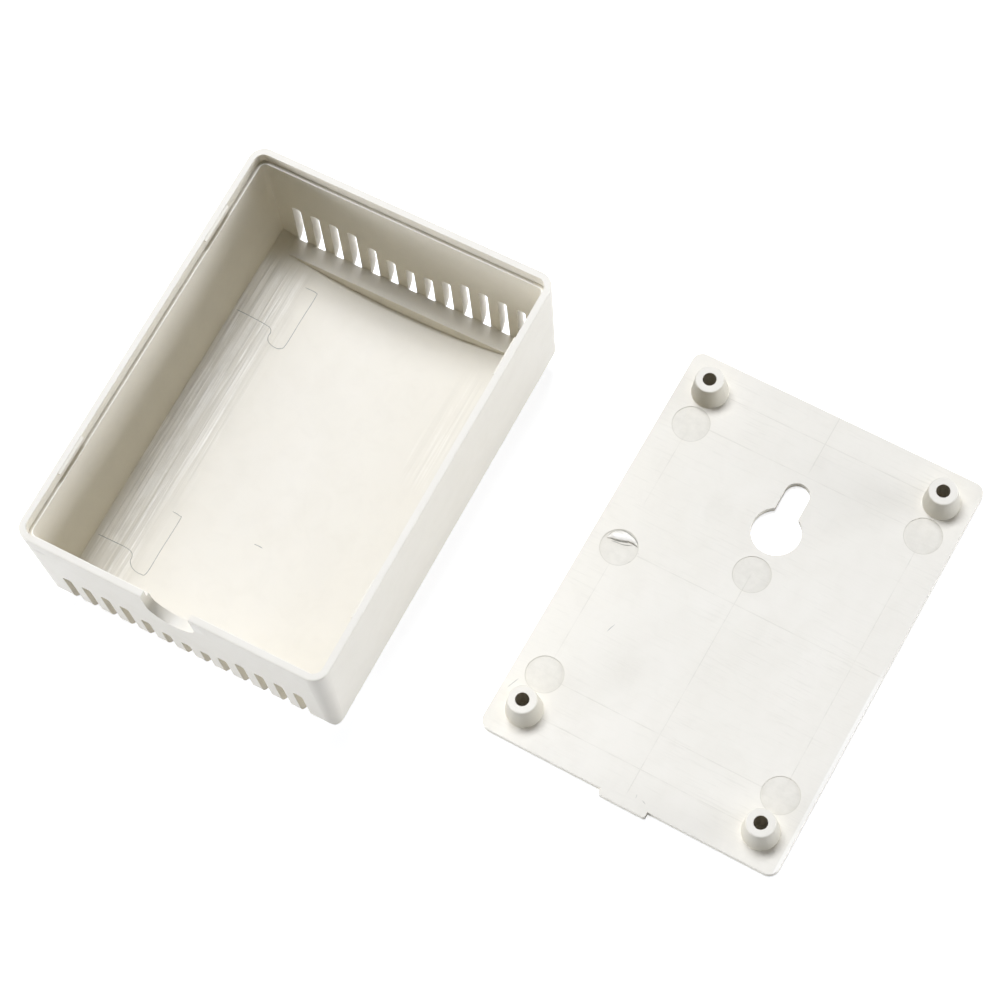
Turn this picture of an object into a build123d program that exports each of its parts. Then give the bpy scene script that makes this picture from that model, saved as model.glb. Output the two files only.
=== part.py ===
from build123d import *
import os
from math import cos, radians, sin, tan

# All sizes in millimetres, angles in degrees. Z is up and the ground is z = 0.
# The open case lies on its crowned front beside its back plate, which lies
# on its flat back with the four posts up.

# Case shell
CASE_L = 110.0            # outer length at the rim
CASE_W = 80.0             # outer width at the rim
CASE_H = 42.0             # rim above the lowest line of the crown
CASE_R = 4.0              # vertical corner radius at the rim
WALL_DRAFT = 2.0          # outer walls lean in towards the front
CORE_DRAFT = 2.4          # inner walls lean in towards the front
CROWN_R = 110.0           # outer radius of the crowned front, about Y
FRONT_T = 2.2             # front panel thickness
CROWN_EDGE_R = 1.2        # rounding where the long walls meet the crown
RIM_EDGE_R = 0.4          # rounding along the outside of the rim

# Rim, with the rebate the back plate drops into
LIP_T = 1.7               # lip around the plate
STEP_W = 0.9              # step the plate rests on
REBATE_D = 3.3            # rim down to the step

# Flat band at each end, beside the crowned pad
PAD_IN = 6.6              # ends of the crowned pad in from the rim's ends
BAND_Z = 5.0              # underside of the bands above the ground
END_ROUND_R = 5.0         # rounding from the band up to the end wall

# Vent slots, open at the bottom, the same number at both ends
SLOT_N = 13
SLOT_PITCH = 5.1
SLOT_W = 2.45
SLOT_TOP_R = 0.8
SLOT_TOP_Z = 22.3         # top of a full-height slot
SLOT_DIP = (5.6, 5.1, 2.9)  # how much lower the middle ones end, centre outwards
SLOT_BITE = 0.25          # how far the slots run into the ledge

# Pry notch in the rim of the near end
NOTCH_W = 12.4
NOTCH_D = 12.6

# Snap ribs on the long lips
RIB_L = 10.2
RIB_OUT = 0.5
RIB_Y = 32.7              # rib centres from the middle
RIB_RISE = 0.15           # rib above the seated plate
RIB_TOP_GAP = 0.15        # rib below the rim
RIB_NOSE = 0.45           # height of the rib's nose, as a share of the rib

# Back plate
PLATE_GAP = 0.15          # plate edge to lip, each side
PLATE_T = 2.0
PLATE_R = 2.6
TAB_W = 12.0              # tab that closes the top of the notch
TAB_OUT = 1.5
TAB_R = 0.6

# Board posts
POST_EDGE_X = 7.65        # post centre in from the plate's long edge
POST_EDGE_Y = 8.15        # post centre in from the plate's short edge
POST_H = 7.0
POST_BASE_D = 9.0
POST_TOP_D = 6.8
POST_TOP_R = 0.3          # rounding of the post's top edge
PILOT_D = 3.3
PILOT_DEPTH = 7.4

# Keyhole for hanging
KEY_Y = 20.6              # centre of the round end
KEY_D = 12.0
KEY_SLOT_W = 6.2
KEY_SLOT_Y = 30.9         # centre of the slot's round end

# Shallow round marks in the plate's inner face
MARK_D = 9.0
MARK_DEPTH = 0.12
MARK_FROM_POST = 9.5      # corner marks in from the posts, along the plate
MARK_KEY_GAP = 12.1       # middle mark to the keyhole's round end

# Where the case lies, from the middle of the plate
CASE_X = -104.3
CASE_Y = -17.7
CASE_TURN = 1.2

# Sizes that follow
REBATE_L = CASE_L - 2 * LIP_T
REBATE_W = CASE_W - 2 * LIP_T
STEP_Z = CASE_H - REBATE_D
CORE_L = REBATE_L - 2 * STEP_W
CORE_W = REBATE_W - 2 * STEP_W
LEDGE_Z = BAND_Z + FRONT_T
PAD_Y = CASE_L / 2 - PAD_IN
LEDGE_Y = PAD_Y - FRONT_T
PLATE_L = REBATE_L - 2 * PLATE_GAP
PLATE_W = REBATE_W - 2 * PLATE_GAP
POST_X = PLATE_W / 2 - POST_EDGE_X
POST_Y = PLATE_L / 2 - POST_EDGE_Y
MARK_Y = POST_Y - MARK_FROM_POST
MARKS = [(sx * POST_X, sy * MARK_Y) for sx in (-1, 1) for sy in (-1, 1)]
MARKS += [(-POST_X, 0.0), (0.0, KEY_Y - MARK_KEY_GAP)]
SLOT_IN_Y = CORE_L / 2 - (STEP_Z - LEDGE_Z) * tan(radians(CORE_DRAFT)) - SLOT_BITE
BIG = 3 * CASE_L


def rounded_sheet(length_x, length_y, radius, z):
    """A rounded rectangle at height z."""
    return Plane.XY.offset(z) * RectangleRounded(length_x, length_y, radius)


def crown_bar(radius):
    """A long bar along Y whose underside is the crown."""
    bar = Cylinder(radius, BIG, rotation=(90, 0, 0))
    return Pos(0, 0, CROWN_R) * bar


def ends_box(inner_y, top_z):
    """Two blocks that fill everything beyond inner_y and below top_z."""
    depth = CASE_L
    block = Box(BIG, depth, depth, align=(Align.CENTER, Align.MIN, Align.MAX))
    far = Pos(0, inner_y, top_z) * block
    near = Rot(0, 0, 180) * far
    return far + near


def low_long_edges(solid):
    """The two edges where the long sides meet the crown."""
    long_edges = solid.edges().filter_by(lambda edge: edge.length > CASE_W)
    return long_edges.sort_by(Axis.Z)[:2]


def end_rounding():
    """The waste outside the rounded lower edge of the far end wall."""
    lean = radians(WALL_DRAFT)
    half_way = radians((90 + WALL_DRAFT) / 2)
    centre_z = BAND_Z + END_ROUND_R
    centre_y = CASE_L / 2 - (CASE_H - centre_z) * tan(lean) - END_ROUND_R / cos(lean)
    foot = (centre_y, BAND_Z)
    middle = (centre_y + END_ROUND_R * cos(half_way), centre_z - END_ROUND_R * sin(half_way))
    top = (centre_y + END_ROUND_R * cos(lean), centre_z - END_ROUND_R * sin(lean))
    far_y = CASE_L / 2 + CASE_H
    with BuildSketch(Plane.YZ) as profile:
        with BuildLine():
            ThreePointArc(foot, middle, top)
            Polyline(top, (far_y, top[1]), (far_y, -1.0), (centre_y, -1.0), foot)
        make_face()
    return extrude(profile.sketch, BIG / 2, both=True)


def case_outside():
    """The drafted block with its crowned front and flat end bands."""
    rim = rounded_sheet(CASE_W, CASE_L, CASE_R, CASE_H)
    body = extrude(rim, amount=CASE_H, dir=(0, 0, -1), taper=WALL_DRAFT)
    body = fillet(body.edges().group_by(Axis.Z)[-1], RIM_EDGE_R)
    body = body & crown_bar(CROWN_R)
    body = fillet(low_long_edges(body), CROWN_EDGE_R)
    body = body - ends_box(PAD_Y, BAND_Z)
    rounding = end_rounding()
    return body - rounding - Rot(0, 0, 180) * rounding


def case_cavity():
    """The hollow: drafted core over the crowned floor, and the rebate above it."""
    mouth = rounded_sheet(CORE_W, CORE_L, CASE_R - LIP_T - STEP_W, STEP_Z)
    core = extrude(mouth, amount=STEP_Z, dir=(0, 0, -1), taper=CORE_DRAFT)
    core = core & crown_bar(CROWN_R - FRONT_T)
    core = core - ends_box(LEDGE_Y, LEDGE_Z)
    rebate = extrude(rounded_sheet(REBATE_W, REBATE_L, CASE_R - LIP_T, STEP_Z), amount=2 * REBATE_D)
    return core + rebate


def slot_cutter(index):
    """One vent slot through the far end wall, open at the bottom."""
    step = abs(index)
    dip = SLOT_DIP[step] if step < len(SLOT_DIP) else 0.0
    top_z = SLOT_TOP_Z - dip
    height = top_z + CASE_H
    slot = Box(SLOT_W, CASE_L, height, align=(Align.CENTER, Align.MIN, Align.MAX))
    top_edges = slot.edges().filter_by(Axis.Y).group_by(Axis.Z)[-1]
    slot = fillet(top_edges, SLOT_TOP_R)
    return Pos(index * SLOT_PITCH, SLOT_IN_Y, top_z) * slot


def notch_cutter():
    """The round-bottomed pry notch in the near rim."""
    radius = NOTCH_W / 2
    reach = CASE_L / 2
    bottom = Pos(0, 0, CASE_H - NOTCH_D + radius) * Cylinder(radius, reach, rotation=(90, 0, 0))
    shaft = Box(NOTCH_W, reach, CASE_H, align=(Align.CENTER, Align.CENTER, Align.MIN))
    shaft = Pos(0, 0, CASE_H - NOTCH_D + radius) * shaft
    return Pos(0, -CASE_L / 2, 0) * (bottom + shaft)


def snap_rib():
    """One rib on the right-hand lip that holds the seated plate down."""
    low = STEP_Z + PLATE_T + RIB_RISE
    high = CASE_H - RIB_TOP_GAP
    face_x = REBATE_W / 2
    nose = low + (high - low) * RIB_NOSE
    with BuildSketch(Plane.XZ) as profile:
        with BuildLine():
            Polyline((face_x + LIP_T / 2, low), (face_x, low), (face_x - RIB_OUT, nose),
                     (face_x, high), (face_x + LIP_T / 2, high), close=True)
        make_face()
    return extrude(profile.sketch, RIB_L / 2, both=True)


def build_case():
    """The case shell, in one piece, centred on its own middle."""
    case = case_outside() - case_cavity()
    half = SLOT_N // 2
    for index in range(-half, half + 1):
        slot = slot_cutter(index)
        case = case - slot - Rot(0, 0, 180) * slot
    case = case - notch_cutter()
    rib = snap_rib()
    for y in (-RIB_Y, RIB_Y):
        case = case + Pos(0, y, 0) * rib + Pos(0, y, 0) * Rot(0, 0, 180) * rib
    return case


def plate_blank():
    """The flat plate with its closing tab on the near edge."""
    sheet = extrude(RectangleRounded(PLATE_W, PLATE_L, PLATE_R), amount=PLATE_T)
    tab_len = TAB_OUT + PLATE_R
    tab = Box(TAB_W, tab_len, PLATE_T, align=(Align.CENTER, Align.MIN, Align.MIN))
    tab = Pos(0, -PLATE_L / 2 - TAB_OUT, 0) * tab
    outer = tab.edges().filter_by(Axis.Z).group_by(Axis.Y)[0]
    return sheet + fillet(outer, TAB_R)


def keyhole_cutter():
    """A round hole that runs on into a narrower slot."""
    tall = 3 * PLATE_T
    round_end = Pos(0, KEY_Y, PLATE_T / 2) * Cylinder(KEY_D / 2, tall)
    slot_end = Pos(0, KEY_SLOT_Y, PLATE_T / 2) * Cylinder(KEY_SLOT_W / 2, tall)
    run = Box(KEY_SLOT_W, KEY_SLOT_Y - KEY_Y, tall, align=(Align.CENTER, Align.MIN, Align.CENTER))
    return round_end + slot_end + Pos(0, KEY_Y, PLATE_T / 2) * run


def post():
    """One tapered post, standing on the plate's inner face."""
    cone = Cone(POST_BASE_D / 2, POST_TOP_D / 2, POST_H, align=(Align.CENTER, Align.CENTER, Align.MIN))
    cone = fillet(cone.edges().sort_by(Axis.Z)[-1], POST_TOP_R)
    return Pos(0, 0, PLATE_T) * cone


def build_plate():
    """The back plate with its posts, pilot holes, keyhole and shallow marks."""
    plate = plate_blank() - keyhole_cutter()
    spots = [(sx * POST_X, sy * POST_Y) for sx in (-1, 1) for sy in (-1, 1)]
    for x, y in spots:
        plate = plate + Pos(x, y, 0) * post()
    pilot = Cylinder(PILOT_D / 2, PILOT_DEPTH, align=(Align.CENTER, Align.CENTER, Align.MAX))
    for x, y in spots:
        plate = plate - Pos(x, y, PLATE_T + POST_H) * pilot
    mark = Cylinder(MARK_D / 2, MARK_DEPTH, align=(Align.CENTER, Align.CENTER, Align.MAX))
    for x, y in MARKS:
        plate = plate - Pos(x, y, PLATE_T) * mark
    return plate


def main():
    os.makedirs("parts", exist_ok=True)
    case = Pos(CASE_X, CASE_Y, 0) * Rot(0, 0, CASE_TURN) * build_case()
    export_step(case, "parts/case_shell.step")
    export_step(build_plate(), "parts/back_plate.step")


main()
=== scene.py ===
import math

import bmesh
import bpy
from mathutils import Matrix, Vector


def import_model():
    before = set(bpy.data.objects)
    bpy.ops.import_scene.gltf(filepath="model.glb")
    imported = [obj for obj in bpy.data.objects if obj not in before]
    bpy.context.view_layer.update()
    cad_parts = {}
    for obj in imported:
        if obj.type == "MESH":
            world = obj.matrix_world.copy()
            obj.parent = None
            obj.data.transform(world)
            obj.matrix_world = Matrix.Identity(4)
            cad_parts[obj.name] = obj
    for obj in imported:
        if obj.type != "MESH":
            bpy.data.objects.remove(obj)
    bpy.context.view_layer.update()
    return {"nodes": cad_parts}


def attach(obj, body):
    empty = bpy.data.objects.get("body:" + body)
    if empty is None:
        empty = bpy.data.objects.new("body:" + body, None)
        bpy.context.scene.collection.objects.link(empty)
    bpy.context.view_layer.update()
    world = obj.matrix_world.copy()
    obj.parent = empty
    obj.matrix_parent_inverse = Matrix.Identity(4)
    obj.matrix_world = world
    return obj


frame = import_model()

# Blender works in metres. Lengths below are in millimetres, and MM turns them into metres.
MM = 0.001
UP = Vector((0.0, 0.0, 1.0))

# Where the shell lies in the row, and the crown that its front follows.
CASE_X, CASE_Y, CASE_TURN = -104.3, -17.7, 1.2
CROWN_R, FRONT_T = 110.0, 2.2

# The inner side of the step below the shell's rim, and half the gap in it at the pry notch.
STEP_X, STEP_Y, STEP_Z, STEP_R, STEP_GAP = 37.56, 52.56, 38.7, 1.56, 6.6

# Outlines of the two mould inserts, left in the shell's floor, in the shell's own x and y.
FAR_INSERT = (
    (-35.6, 27.2), (-31.2, 27.5), (-28.2, 27.6), (-26.6, 27.4), (-26.0, 26.5), (-26.0, 25.3),
    (-25.3, 24.2), (-23.6, 23.7), (-22.1, 24.1), (-21.4, 25.6), (-21.35, 33.0), (-21.25, 39.9),
    (-21.8, 41.0), (-24.9, 40.8))
NEAR_INSERT = (
    (-35.6, -38.0), (-32.4, -37.7), (-28.8, -37.4), (-27.1, -37.6), (-26.3, -38.4),
    (-26.0, -39.8), (-24.6, -41.0), (-22.5, -41.2), (-21.4, -40.2), (-21.35, -33.7),
    (-21.25, -25.2), (-21.8, -24.3), (-24.1, -24.2))
FLOOR_SCRATCHES = (
    ((-3.4, -21.95), (-1.8, -21.85), (-0.3, -21.95)),
    ((-15.5, 46.1), (-14.9, 46.1), (-14.4, 46.0)))

# The plate's inner face, with its round ejector marks, its posts and their pilot holes.
PLATE_TOP = 2.0
MARK_R = 4.5
MARK_SPOTS = (
    (-30.5, -35.5), (-30.5, 35.5), (30.5, -35.5), (30.5, 35.5), (-30.5, 0.0), (0.0, 8.5))
PILOT_R = 1.65
POST_SPOTS = ((-30.5, -45.0), (-30.5, 45.0), (30.5, -45.0), (30.5, 45.0))
ROUGH_SPOTS = ((-14.6, 19.7), (-13.8, -25.6))

# Scribed layout lines on the plate: the place across, then the start and the end.
LINES_ALONG_X = (
    (45.5, -37.0, -35.5), (45.5, -26.0, 26.0), (36.1, -25.5, 25.5), (0.1, -25.0, 37.0),
    (-35.7, -25.5, 25.5), (-45.1, -25.5, 25.5))
LINES_ALONG_Y = (
    (-0.2, -51.0, 8.0), (-0.1, 38.0, 53.0), (-30.5, -31.0, -5.0), (-30.5, 13.0, 31.0),
    (30.6, -31.0, 31.0))
PLATE_SCRATCHES = (
    ((-22.95, -19.8), (-22.5, -18.3), (-21.98, -17.0)),
    ((-36.6, -42.5), (-35.9, -40.7), (-35.2, -39.0)),
    ((1.92, -50.3), (2.1, -51.2), (2.1, -51.9)),
    ((3.4, -51.2), (4.2, -51.5), (5.0, -51.9)))

# The sliver torn up at one ejector mark. Its heights are above the plate's inner face.
CURL_OUTER = (
    (-34.1, 0.9, 0.0), (-33.9, 1.9, 0.06), (-33.4, 2.8, 0.14), (-32.5, 3.4, 0.24),
    (-31.5, 3.85, 0.3), (-30.4, 3.9, 0.3), (-29.3, 3.7, 0.24), (-28.2, 3.4, 0.14),
    (-27.0, 2.6, 0.02))
CURL_INNER = (
    (-34.0, 0.9, 0.0), (-32.9, 1.2, 0.05), (-31.9, 1.35, 0.12), (-30.9, 1.6, 0.18),
    (-29.9, 1.9, 0.2), (-29.2, 2.2, 0.2), (-28.4, 2.25, 0.14), (-27.6, 2.3, 0.08),
    (-26.7, 2.1, 0.0))
CURL_ARCH, CURL_THICK, CURL_STEP, CURL_STRIPS = 0.3, 0.09, 0.3, 6

# The dark lines around the sliver: width, height and course. In order, the groove around it,
# its open side, its short end, the fold below it and two nicks in the mark's edge.
CURL_EDGES = (
    (0.26, 0.1, ((-33.99, 1.1), (-33.9, 2.04), (-33.46, 2.94), (-32.48, 3.6), (-31.49, 4.12),
                 (-30.38, 4.18), (-29.34, 4.0), (-28.24, 3.65), (-27.35, 3.12), (-26.8, 2.5))),
    (0.34, 0.12, ((-33.2, 1.1), (-31.92, 1.3), (-30.92, 1.53), (-29.82, 1.91), (-29.0, 2.3))),
    (0.26, 0.08, ((-28.23, 2.2), (-27.52, 2.2), (-26.62, 2.05))),
    (0.16, 0.05, ((-32.95, 0.65), (-31.29, 0.9), (-29.98, 1.03), (-28.59, 1.57), (-28.0, 2.0))),
    (0.2, 0.06, ((-25.94, 0.29), (-25.7, 0.62), (-25.5, 1.02))),
    (0.2, 0.06, ((-26.82, -2.35), (-26.45, -1.95), (-26.12, -1.59))))

# The camera stands where the photograph was taken from, in metres.
CAMERA_AT = (0.117567, -0.214178, 0.666614)
CAMERA_RIGHT = (0.866749, 0.492917, -0.076015)
CAMERA_UP = (-0.432692, 0.818974, 0.376907)
CAMERA_BACK = (0.248038, -0.293792, 0.923127)
SENSOR_WIDTH, LENS = 36.0, 109.977

# Lamps: name, heading, degrees above the floor, width and height in metres, and level.
# A level of 1 lights a white surface that faces the lamp to white.
LAMPS = (
    ("softbox_top", (-0.71, 0.704), 70.3, (0.76, 0.38), 1.09),
    ("softbox_front_left", (-0.9, -0.44), 5.0, (1.3, 0.2), 0.27),
    ("softbox_front", (-0.6, -0.8), 8.0, (1.0, 0.3), 0.55),
    ("softbox_right", (0.88, 0.38), 8.0, (1.0, 0.3), 0.77))
LAMP_AIM, LAMP_DISTANCE = Vector((-0.06, -0.01, 0.015)), 1.5
LAMP_COLOUR = (0.935, 0.982, 1.125)

# Colours of the plastic: as moulded, cloudy, pale (also painted highlights) and dulled (also
# painted shade), then a dark tone for grooves and scratches, painted shade for pilot holes, then
# the floor's paper and the glow that shows it white.
IVORY = (0.757, 0.708, 0.585, 1.0)
IVORY_DEEP = (0.70, 0.65, 0.527, 1.0)
IVORY_PALE = (0.90, 0.86, 0.75, 1.0)
IVORY_SHADE = (0.58, 0.54, 0.43, 1.0)
GROOVE = (0.36, 0.345, 0.29, 1.0)
# Painted shade for the inside of the pilot holes.
PILOT_SHADE = (0.17, 0.13, 0.085, 1.0)
PAPER = (0.68, 0.68, 0.68, 1.0)
WHITE = (1.0, 1.0, 1.0, 1.0)
PAPER_GLOW = 0.8
FLOOR_HALF, FLOOR_Z = 4.0, -0.0002


# ---------------------------------------------------------------- node helpers
class Nodes:
    """Builds the nodes of one material or world, with short names for the usual ones."""

    def __init__(self, owner):
        owner.use_nodes = True
        self.owner = owner
        self.tree = owner.node_tree
        self.tree.nodes.clear()

    def new(self, kind, **settings):
        node = self.tree.nodes.new(kind)
        for key, value in settings.items():
            setattr(node, key, value)
        return node

    def put(self, socket, value):
        if isinstance(value, bpy.types.NodeSocket):
            self.tree.links.new(value, socket)
        else:
            socket.default_value = value

    def place(self):
        return self.new("ShaderNodeTexCoord").outputs["Object"]

    def axes(self, vector):
        node = self.new("ShaderNodeSeparateXYZ")
        self.put(node.inputs[0], vector)
        return tuple(node.outputs)

    def math(self, operation, a, b=0.0, c=0.0):
        node = self.new("ShaderNodeMath", operation=operation)
        for socket, value in zip(node.inputs, (a, b, c)):
            self.put(socket, value)
        return node.outputs[0]

    def fold(self, operation, parts):
        total = parts[0]
        for part in parts[1:]:
            total = self.math(operation, total, part)
        return total

    def product(self, *parts):
        return self.fold("MULTIPLY", parts)

    def most(self, *parts):
        return self.fold("MAXIMUM", parts)

    def distance(self, vector, spot):
        node = self.new("ShaderNodeVectorMath", operation="DISTANCE")
        self.put(node.inputs[0], vector)
        self.put(node.inputs[1], spot)
        return node.outputs["Value"]

    def nearest(self, plan, spots):
        """How far the nearest of the spots is, seen from above."""
        away = [self.distance(plan, (x * MM, y * MM, 0.0)) for x, y in spots]
        return self.fold("MINIMUM", away)

    def ramp(self, value, low, high, to_low=0.0, to_high=1.0):
        """Goes smoothly from to_low at low to to_high at high."""
        node = self.new("ShaderNodeMapRange", interpolation_type="SMOOTHSTEP")
        for socket, number in zip(node.inputs, (value, low, high, to_low, to_high)):
            self.put(socket, number)
        return node.outputs[0]

    def window(self, value, low, high, soft):
        """1 between low and high, fading to 0 over `soft` outside them."""
        rise = self.ramp(value, low - soft, low)
        fall = self.ramp(value, high, high + soft, 1.0, 0.0)
        return self.product(rise, fall)

    def noise(self, vector, scale, detail=2.0, roughness=0.5, distortion=0.0):
        node = self.new("ShaderNodeTexNoise")
        self.put(node.inputs["Vector"], vector)
        node.inputs["Scale"].default_value = scale
        node.inputs["Detail"].default_value = detail
        node.inputs["Roughness"].default_value = roughness
        node.inputs["Distortion"].default_value = distortion
        return node.outputs["Fac"]

    def stretch(self, vector, scale, turn=0.0, shift=(0.0, 0.0, 0.0)):
        node = self.new("ShaderNodeMapping", vector_type="POINT")
        self.put(node.inputs["Vector"], vector)
        node.inputs["Location"].default_value = shift
        node.inputs["Rotation"].default_value = (0.0, 0.0, turn)
        node.inputs["Scale"].default_value = scale
        return node.outputs["Vector"]

    def mix(self, factor, a, b):
        node = self.new("ShaderNodeMix", data_type="RGBA")
        self.put(node.inputs[0], factor)
        self.put(node.inputs[6], a)
        self.put(node.inputs[7], b)
        return node.outputs[2]

    def tint(self, colour, mask, strength, tone):
        """Moves the colour towards the tone where the mask is, by `strength` at most."""
        return self.mix(self.product(mask, strength), colour, tone)

    def bump(self, height, distance, strength=1.0, normal=None):
        node = self.new("ShaderNodeBump")
        node.inputs["Strength"].default_value = strength
        node.inputs["Distance"].default_value = distance
        self.put(node.inputs["Height"], height)
        if normal is not None:
            self.put(node.inputs["Normal"], normal)
        return node.outputs["Normal"]

    def close(self, colour, rough, normal):
        """Ends a plastic material and hands it over."""
        shader = self.new("ShaderNodeBsdfPrincipled")
        self.put(shader.inputs["Base Color"], colour)
        self.put(shader.inputs["Roughness"], rough)
        self.put(shader.inputs["Normal"], normal)
        shader.inputs["IOR"].default_value = 1.5
        shader.inputs["Specular IOR Level"].default_value = 0.38
        out = self.new("ShaderNodeOutputMaterial")
        self.put(out.inputs["Surface"], shader.outputs[0])
        return self.owner

    def shows_background(self):
        """1 for the rays that show the white background, 0 for those that light the object."""
        ray = self.new("ShaderNodeLightPath")
        kinds = ("Is Camera Ray", "Is Glossy Ray", "Is Transmission Ray")
        return self.most(*(ray.outputs[kind] for kind in kinds))


# ------------------------------------------------------------------- materials
def plastic(name):
    """The ivory plastic all pieces share: fine moulded grain, cloudy tint, faint rubbed patches."""
    n = Nodes(bpy.data.materials.new(name))
    place = n.place()
    cloud = n.noise(place, 34.0, 4.0, 0.55, 0.4)
    mottle = n.noise(place, 190.0, 3.0, 0.6, 0.6)
    grain = n.noise(place, 2600.0, 3.0, 0.6)
    rub = n.noise(n.stretch(place, (1.0, 0.32, 1.0), turn=0.35), 210.0, 5.0, 0.65, 0.8)
    colour = n.mix(n.ramp(cloud, 0.3, 0.75, 0.0, 0.22), IVORY, IVORY_DEEP)
    colour = n.mix(n.ramp(mottle, 0.4, 0.75, 0.0, 0.3), colour, IVORY_DEEP)
    rough = n.math("ADD", 0.44, n.product(rub, 0.16))
    normal = n.bump(rub, 0.03 * MM, 0.5)
    normal = n.bump(grain, 0.02 * MM, 0.35, normal)
    return n, place, colour, rough, normal


def case_material():
    """Ivory plastic with the flow lines that the mould left along the shell's floor, and painted
    highlights on them.
    """
    n, place, colour, rough, normal = plastic("case_plastic")
    centred = n.stretch(place, (1.0, 1.0, 1.0), shift=(-CASE_X * MM, -CASE_Y * MM, 0.0))
    local = n.stretch(centred, (1.0, 1.0, 1.0), turn=math.radians(-CASE_TURN))
    x, y, z = n.axes(local)

    # The shell's floor is what looks up and lies low.
    normal_z = n.axes(n.new("ShaderNodeNewGeometry").outputs["True Normal"])[2]
    on_floor = n.product(n.ramp(normal_z, 0.6, 0.85), n.ramp(z, 11 * MM, 13 * MM, 1.0, 0.0))

    # Flow lines fill a band with a wavy edge at the left, and a short faint one at the right.
    wavy = n.noise(n.stretch(local, (1.0, 0.25, 1.0)), 160.0, 2.0)
    drift = n.math("MULTIPLY_ADD", n.math("SUBTRACT", wavy, 0.5), 6 * MM, x)
    left = n.product(on_floor, n.ramp(drift, -37.5 * MM, -34.5 * MM),
                     n.ramp(drift, -28 * MM, -21 * MM, 1.0, 0.0),
                     n.window(y, -44 * MM, 41 * MM, 6 * MM))
    right = n.product(on_floor, n.window(drift, 22.5 * MM, 25.5 * MM, 4 * MM),
                      n.window(y, 12 * MM, 34 * MM, 8 * MM))
    band = n.most(left, n.product(right, 0.45))

    fine = n.noise(n.stretch(local, (1.0, 0.022, 1.0), turn=0.02), 1450.0, 2.0, 0.5, 0.1)
    broad = n.noise(n.stretch(local, (1.0, 0.02, 1.0), turn=0.02), 560.0, 2.0, 0.5, 0.15)
    # Dark streaks are the flow lines' own darker tone; the pale streaks are painted highlights,
    # standing in for the glint along the glossy lines.
    dark = n.most(n.ramp(fine, 0.48, 0.34), n.product(n.ramp(broad, 0.47, 0.36), 0.6))
    painted_glints = n.most(n.ramp(fine, 0.54, 0.66), n.product(n.ramp(broad, 0.53, 0.64), 0.7))
    breaks = n.noise(n.stretch(local, (1.0, 0.3, 1.0)), 420.0, 3.0, 0.6)
    painted_glints = n.product(painted_glints, n.ramp(breaks, 0.38, 0.62, 0.15, 1.0))
    colour = n.tint(colour, n.product(dark, band), 0.5, IVORY_SHADE)
    colour = n.tint(colour, n.product(painted_glints, band), 0.85, IVORY_PALE)
    rough = n.math("SUBTRACT", rough, n.product(band, 0.15))
    height = n.product(n.math("MULTIPLY_ADD", fine, 0.6, broad), band)
    normal = n.bump(height, 0.22 * MM, 0.8, normal)

    # The right end of the pry notch is stress-whitened.
    stress = n.distance(local, (6.6 * MM, -54.5 * MM, 37.5 * MM))
    pale = n.product(n.ramp(stress, 1.2 * MM, 3.4 * MM, 1.0, 0.0), n.noise(local, 900.0, 4.0, 0.7))
    colour = n.tint(colour, pale, 0.8, IVORY_PALE)
    normal = n.bump(pale, 0.2 * MM, 0.6, normal)

    # A small long dent lies near the left end of the near wall.
    long = n.stretch(local, (0.6, 1.0, 1.0), shift=(-13.5 * MM, 0.0, 0.0))
    struck = n.distance(long, (-33.8 * MM, -54.9 * MM, 37 * MM))
    dent = n.ramp(struck, 0.3 * MM, 1.3 * MM, 1.0, 0.0)
    colour = n.tint(colour, dent, 0.45, IVORY_SHADE)
    normal = n.bump(dent, -0.2 * MM, 0.7, normal)
    return n.close(colour, rough, normal)


def scribed(n, across, along, lines):
    """The masks of layout lines at these places across, from start to end along."""
    half, soft, run_out = 0.03 * MM, 0.12 * MM, 1.5 * MM
    return [n.product(n.window(across, at * MM - half, at * MM + half, soft),
                      n.window(along, start * MM, end * MM, run_out)) for at, start, end in lines]


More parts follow.
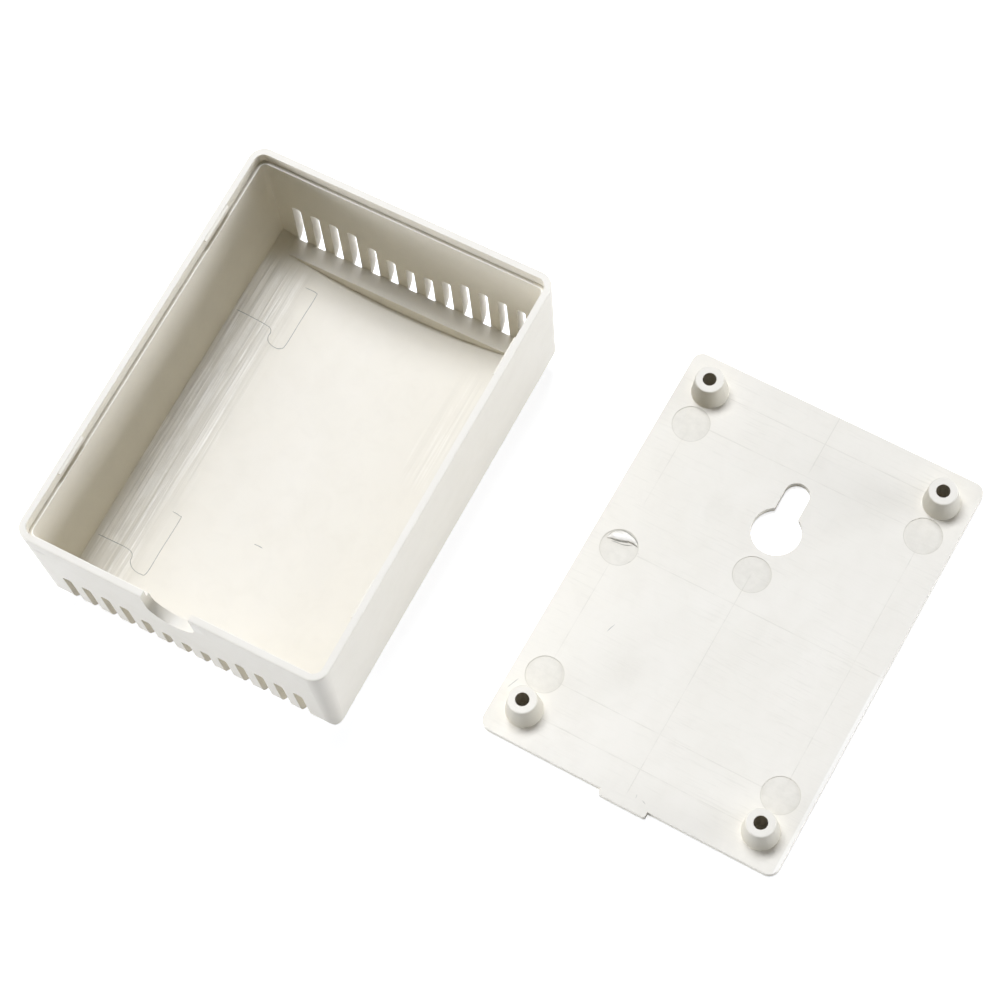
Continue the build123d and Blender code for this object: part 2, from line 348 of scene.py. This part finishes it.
def plate_material():
    """Ivory plastic with ejector marks, scribed layout lines and fine rubbing across the plate."""
    n, place, colour, rough, normal = plastic("plate_plastic")
    x, y, z = n.axes(place)
    flat = n.new("ShaderNodeCombineXYZ")
    n.put(flat.inputs[0], x)
    n.put(flat.inputs[1], y)
    plan = flat.outputs[0]
    top = n.window(z, 1.8 * MM, 2.1 * MM, 0.1 * MM)

    # Fine rubbing runs across the plate, in patches.
    rubbing = n.noise(n.stretch(place, (0.06, 1.0, 1.0)), 1900.0, 3.0, 0.6, 0.1)
    patches = n.noise(place, 60.0, 3.0)
    rubbed = n.product(top, n.ramp(patches, 0.35, 0.7, 0.25, 1.0))
    colour = n.mix(n.product(rubbed, n.ramp(rubbing, 0.5, 0.8, 0.0, 0.34)), colour, IVORY_SHADE)
    normal = n.bump(n.product(rubbing, rubbed), 0.06 * MM, 0.6, normal)

    # Layout lines are worn away here and there.
    lines = n.most(*scribed(n, y, x, LINES_ALONG_X), *scribed(n, x, y, LINES_ALONG_Y))
    wear = n.ramp(n.noise(place, 240.0, 2.0), 0.35, 0.6, 0.35, 1.0)
    worn = n.product(lines, top, wear)
    colour = n.tint(colour, worn, 0.45, IVORY_SHADE)
    normal = n.bump(worn, 0.04 * MM, 0.6, normal)

    # Each ejector mark is a milky disc in a fine ring. A pale band inside the right edge is a
    # painted highlight, for the light its bevel catches.
    away = n.nearest(plan, MARK_SPOTS)
    disc = n.product(n.ramp(away, (MARK_R - 0.05) * MM, (MARK_R + 0.1) * MM, 1.0, 0.0), top)
    ring = n.product(n.window(away, (MARK_R - 0.03) * MM, (MARK_R + 0.05) * MM, 0.12 * MM), top)
    colour = n.tint(colour, ring, 0.7, IVORY_SHADE)
    # Painted highlight: a pale band inside the right edge.
    bevel = n.product(top, n.ramp(x, 37.1 * MM, 37.5 * MM), n.ramp(y, 4 * MM, -4 * MM))
    colour = n.tint(colour, bevel, 0.55, IVORY_PALE)
    milky = n.ramp(n.noise(place, 480.0, 4.0, 0.6), 0.3, 0.75, 0.22, 0.5)
    colour = n.mix(n.product(disc, milky), colour, IVORY_SHADE)
    normal = n.bump(n.product(disc, n.noise(place, 700.0, 3.0, 0.6)), 0.08 * MM, 0.5, normal)

    # Painted shade: the posts' sides are darkened, and the pilot holes are painted dark inside.
    post = n.nearest(plan, POST_SPOTS)
    flank_shade = n.product(n.ramp(post, 4.6 * MM, 4.9 * MM, 1.0, 0.0),
                      n.ramp(z, 2.1 * MM, 2.6 * MM), n.ramp(z, 8.5 * MM, 8.9 * MM, 1.0, 0.0))
    colour = n.tint(colour, flank_shade, 0.75, IVORY_SHADE)
    pilot = n.ramp(post, (PILOT_R + 0.02) * MM, (PILOT_R + 0.08) * MM, 1.0, 0.0)
    colour = n.tint(colour, pilot, 0.3, PILOT_SHADE)

    # Two patches of the face are finely pitted.
    rough_patch = n.ramp(n.nearest(plan, ROUGH_SPOTS), 1.5 * MM, 6.0 * MM, 1.0, 0.0)
    pitted = n.product(rough_patch, top, n.noise(place, 1300.0, 4.0, 0.7))
    normal = n.bump(pitted, 0.1 * MM, 0.8, normal)
    colour = n.tint(colour, pitted, 0.15, IVORY_SHADE)
    return n.close(colour, rough, normal)


def line_material():
    """The tone of a thin groove or a scratch, darker and duller than the plastic around it."""
    n = Nodes(bpy.data.materials.new("witness_line"))
    place = n.place()
    colour = n.mix(n.ramp(n.noise(place, 900.0, 3.0), 0.3, 0.75, 0.0, 0.5), GROOVE, IVORY_SHADE)
    rough = n.math("MULTIPLY_ADD", n.noise(place, 1500.0, 2.0), 0.2, 0.45)
    return n.close(colour, rough, n.bump(n.noise(place, 2200.0, 2.0), 0.03 * MM, 0.5))


def curl_material():
    """Thin torn plastic: paler than the plate, with stretched fibres along the tear."""
    n = Nodes(bpy.data.materials.new("torn_plastic"))
    fibre = n.noise(n.stretch(n.place(), (0.15, 1.0, 1.0), turn=0.2), 3000.0, 4.0, 0.6)
    colour = n.mix(n.ramp(fibre, 0.35, 0.7, 0.0, 0.7), IVORY_PALE, IVORY_DEEP)
    rough = n.math("MULTIPLY_ADD", fibre, 0.25, 0.3)
    return n.close(colour, rough, n.bump(fibre, 0.06 * MM, 0.7))


def highlight_edge_material():
    """The shell's plastic along a thin edge, painted pale: a painted highlight."""
    n, _, colour, rough, normal = plastic("painted_highlight_edge")
    return n.close(n.mix(0.85, colour, IVORY_PALE), rough, normal)


def dress_cad():
    for node, material in (("case_shell", case_material()), ("back_plate", plate_material())):
        data = frame["nodes"][node].data
        data.materials.clear()
        data.materials.append(material)


# ---------------------------------------------------------------- small pieces
def shell_point(x, y, z):
    """A point of the shell's own millimetres, in the row's millimetres."""
    turn = math.radians(CASE_TURN)
    return Vector((CASE_X + x * math.cos(turn) - y * math.sin(turn),
                   CASE_Y + x * math.sin(turn) + y * math.cos(turn), z))


def floor_points(course):
    """Points on the shell's crowned floor."""
    return [shell_point(x, y, CROWN_R - math.sqrt((CROWN_R - FRONT_T) ** 2 - x * x))
            for x, y in course]


def plate_points(course):
    """Points on the plate's inner face."""
    return [Vector((x, y, PLATE_TOP)) for x, y in course]


def smooth_path(points, step=0.25):
    """A Catmull-Rom curve through the points, cut into short steps."""
    ends = [points[0] * 2 - points[1]] + list(points) + [points[-1] * 2 - points[-2]]
    path = []
    for a, b, c, d in zip(ends, ends[1:], ends[2:], ends[3:]):
        pieces = max(1, int((c - b).length / step))
        for i in range(pieces):
            t = i / pieces
            path.append(0.5 * (2 * b + (c - a) * t + (2 * a - 5 * b + 4 * c - d) * t ** 2
                               + (3 * b - a - 3 * c + d) * t ** 3))
    return path + [points[-1]]


def skin(bm, rows):
    """Smooth faces between rows of equally many points, in millimetres."""
    rows = [[bm.verts.new(spot * MM) for spot in row] for row in rows]
    for a, b in zip(rows, rows[1:]):
        for k in range(len(a) - 1):
            bm.faces.new((a[k], a[k + 1], b[k + 1], b[k])).smooth = True


def bead(bm, points, width, height, sides=4, sunk=0.02):
    """A thin half-round bead along the points, with tapered ends, sunk a little into the face."""
    path = smooth_path(points)
    last = len(path) - 1
    rows = []
    for i, point in enumerate(path):
        along = (path[min(i + 1, last)] - path[max(i - 1, 0)]).normalized()
        across = along.cross(UP).normalized()
        thin = min(1.0, 0.2 + i / 4.0, 0.2 + (last - i) / 4.0)
        rows.append([])
        for k in range(sides + 1):
            angle = math.pi * k / sides
            rows[-1].append(point + across * (math.cos(angle) * width / 2 * thin)
                            + UP * (math.sin(angle) * height * thin - sunk))
    skin(bm, rows)


def piece(name, bm, material):
    """Turns a bmesh into a piece that rides with the part."""
    bmesh.ops.recalc_face_normals(bm, faces=bm.faces)
    mesh = bpy.data.meshes.new(name)
    bm.to_mesh(mesh)
    bm.free()
    mesh.materials.append(material)
    thing = bpy.data.objects.new(name, mesh)
    bpy.context.scene.collection.objects.link(thing)
    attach(thing, "root")
    return thing


def insert_outlines(material):
    """The lines where the mould's inserts met, on the shell's crowned floor."""
    for name, outline in (("insert_line_far", FAR_INSERT), ("insert_line_near", NEAR_INSERT)):
        bm = bmesh.new()
        bead(bm, floor_points(outline), 0.24, 0.06)
        piece(name, bm, material)


def step_highlight_bead(material):
    """A fine bead along the inner side of the step below the rim, painted pale as a painted
    highlight for the step's lit floor.
    """
    turns = [(STEP_GAP, -STEP_Y)]
    for side_x, side_y, first in ((1, -1, 270), (1, 1, 0), (-1, 1, 90), (-1, -1, 180)):
        for k in range(5):
            angle = math.radians(first + 22.5 * k)
            turns.append((side_x * (STEP_X - STEP_R) + STEP_R * math.cos(angle),
                          side_y * (STEP_Y - STEP_R) + STEP_R * math.sin(angle)))
    turns.append((-STEP_GAP, -STEP_Y))
    points = []
    for (ax, ay), (bx, by) in zip(turns, turns[1:]):
        pieces = max(1, round(math.hypot(bx - ax, by - ay)))
        points += [shell_point(ax + (bx - ax) * i / pieces, ay + (by - ay) * i / pieces, STEP_Z)
                   for i in range(pieces)]
    points.append(shell_point(*turns[-1], STEP_Z))
    bm = bmesh.new()
    bead(bm, points, 0.32, 0.13)
    piece("step_highlight_bead", bm, material)


def scratches(material):
    """The few short scratches and nicks on the plate and on the shell's floor."""
    bm = bmesh.new()
    for course in PLATE_SCRATCHES:
        bead(bm, plate_points(course), 0.16, 0.05)
    for course in FLOOR_SCRATCHES:
        bead(bm, floor_points(course), 0.26, 0.06)
    piece("fine_scratches", bm, material)


def torn_curl(material, dark_material):
    """The sliver of plastic torn up along the edge of one ejector mark, and its dark edges."""
    outer, inner = (smooth_path([Vector(spot) for spot in side], CURL_STEP)
                    for side in (CURL_OUTER, CURL_INNER))
    rows = []
    for a, b in zip(outer, inner):
        arch = CURL_ARCH * min(1.0, (a - b).length / 1.5)
        parts = [k / CURL_STRIPS for k in range(CURL_STRIPS + 1)]
        rows.append([a.lerp(b, t) + UP * (PLATE_TOP + arch * math.sin(math.pi * t)) for t in parts])
    bm = bmesh.new()
    skin(bm, rows)
    thickness = piece("torn_curl", bm, material).modifiers.new("thickness", "SOLIDIFY")
    thickness.thickness = CURL_THICK * MM
    thickness.offset = 0.0
    bm = bmesh.new()
    for width, height, course in CURL_EDGES:
        bead(bm, plate_points(course), width, height)
    piece("torn_curl_edge", bm, dark_material)


# ------------------------------------------------------------ floor and lights
def floor():
    """White paper under the part: it takes the part's shadow and shows white to the camera."""
    mesh = bpy.data.meshes.new("floor")
    bm = bmesh.new()
    bmesh.ops.create_grid(bm, x_segments=1, y_segments=1, size=FLOOR_HALF)
    bm.to_mesh(mesh)
    bm.free()
    ground = bpy.data.objects.new("floor", mesh)
    ground.location.z = FLOOR_Z
    bpy.context.scene.collection.objects.link(ground)
    n = Nodes(bpy.data.materials.new("floor_paper"))
    paper = n.new("ShaderNodeBsdfDiffuse")
    paper.inputs["Color"].default_value = PAPER
    glow = n.new("ShaderNodeEmission")
    glow.inputs["Color"].default_value = WHITE
    n.put(glow.inputs["Strength"], n.product(n.shows_background(), PAPER_GLOW))
    both = n.new("ShaderNodeAddShader")
    n.put(both.inputs[0], paper.outputs[0])
    n.put(both.inputs[1], glow.outputs[0])
    out = n.new("ShaderNodeOutputMaterial")
    n.put(out.inputs["Surface"], both.outputs[0])
    mesh.materials.append(n.owner)


def world():
    """A white background that gives the object no light."""
    n = Nodes(bpy.data.worlds.new("studio"))
    glow = n.new("ShaderNodeBackground")
    glow.inputs["Color"].default_value = WHITE
    n.put(glow.inputs["Strength"], n.shows_background())
    out = n.new("ShaderNodeOutputWorld")
    n.put(out.inputs["Surface"], glow.outputs[0])
    bpy.context.scene.world = n.owner


def lights():
    for name, heading, degrees, (width, height), level in LAMPS:
        rise = math.radians(degrees)
        toward = Vector((*heading, 0.0)).normalized() * math.cos(rise) + UP * math.sin(rise)
        data = bpy.data.lights.new(name, "AREA")
        data.shape = "RECTANGLE"
        data.size, data.size_y = width, height
        data.energy = level * math.pi ** 2 * LAMP_DISTANCE ** 2
        data.color = LAMP_COLOUR
        lamp = bpy.data.objects.new(name, data)
        lamp.location = LAMP_AIM + toward * LAMP_DISTANCE
        lamp.rotation_euler = toward.to_track_quat("Z", "Y").to_euler()
        bpy.context.scene.collection.objects.link(lamp)


def camera():
    data = bpy.data.cameras.new("photo_camera")
    data.sensor_width = SENSOR_WIDTH
    data.lens = LENS
    data.clip_start, data.clip_end = 0.01, 20.0
    eye = bpy.data.objects.new("photo_camera", data)
    axes = Matrix((CAMERA_RIGHT, CAMERA_UP, CAMERA_BACK)).transposed()
    eye.matrix_world = Matrix.Translation(CAMERA_AT) @ axes.to_4x4()
    bpy.context.scene.collection.objects.link(eye)
    bpy.context.scene.camera = eye


camera()
dress_cad()
witness = line_material()
insert_outlines(witness)
step_highlight_bead(highlight_edge_material())
scratches(witness)
torn_curl(curl_material(), witness)
floor()
world()
lights()
bpy.context.scene.view_settings.view_transform = "Standard"
